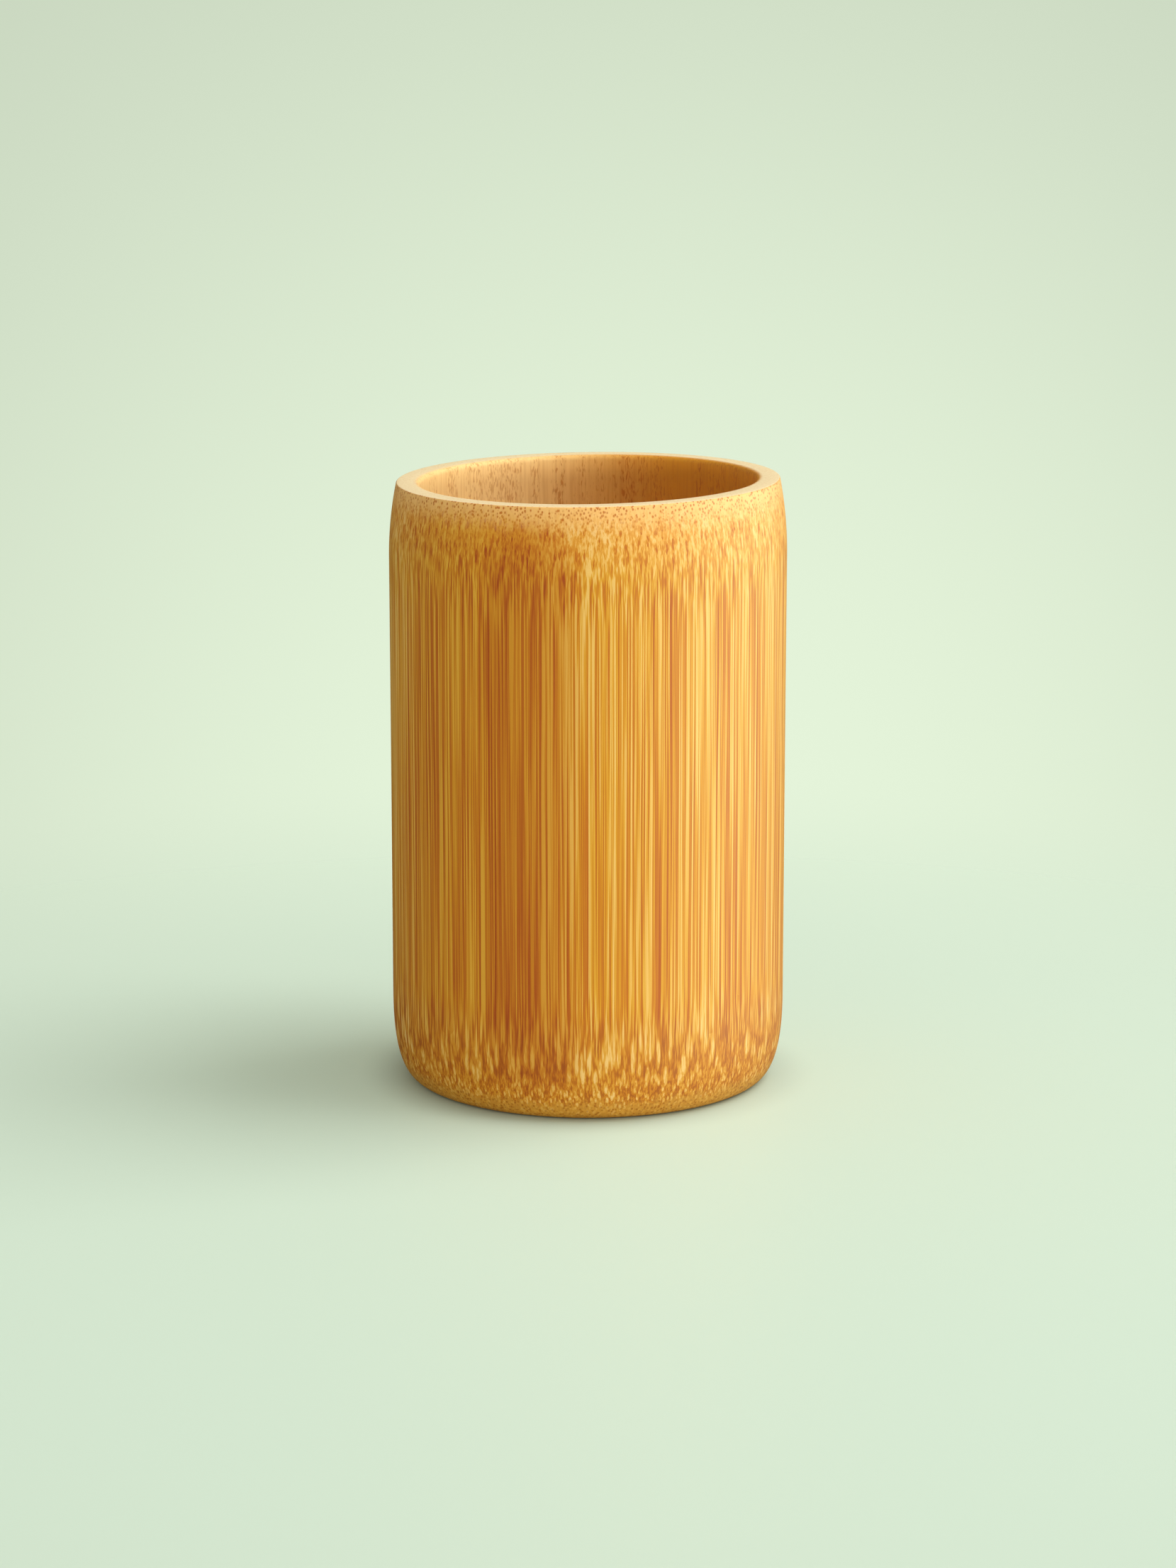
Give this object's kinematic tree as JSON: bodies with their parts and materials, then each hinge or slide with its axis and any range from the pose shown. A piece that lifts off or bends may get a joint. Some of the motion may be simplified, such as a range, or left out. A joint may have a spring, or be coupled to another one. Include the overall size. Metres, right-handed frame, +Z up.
{
  "type": "bamboo cup",
  "caption": "Handleless cylindrical cup turned from a length of bamboo culm, with a flat rim, a rounded foot and a glued-in strip base.",
  "frame": {"origin": "centre of the foot ring, on the surface that the cup stands on", "axes": "+Z up along the cup's axis, out of the mouth; +Y away from the picture's viewpoint; +X to its right"},
  "size_m": [0.075, 0.075, 0.1154],
  "materials": {
    "culm": "satin lacquered bamboo, fibres along the height",
    "strip_board": "sanded and oiled edge-glued bamboo strips",
    "glue": "cured amber resin"
  },
  "bodies": {
    "root": {"cup_wall": "culm", "glue_seam": "glue", "base_strip_1": "strip_board", "base_strip_2": "strip_board", "base_strip_3": "strip_board", "base_strip_4": "strip_board", "base_strip_5": "strip_board", "base_strip_6": "strip_board", "base_strip_7": "strip_board", "base_strip_8": "strip_board", "base_strip_9": "strip_board", "base_strip_10": "strip_board", "base_strip_11": "strip_board", "base_strip_12": "strip_board"}
  },
  "joints": []
}
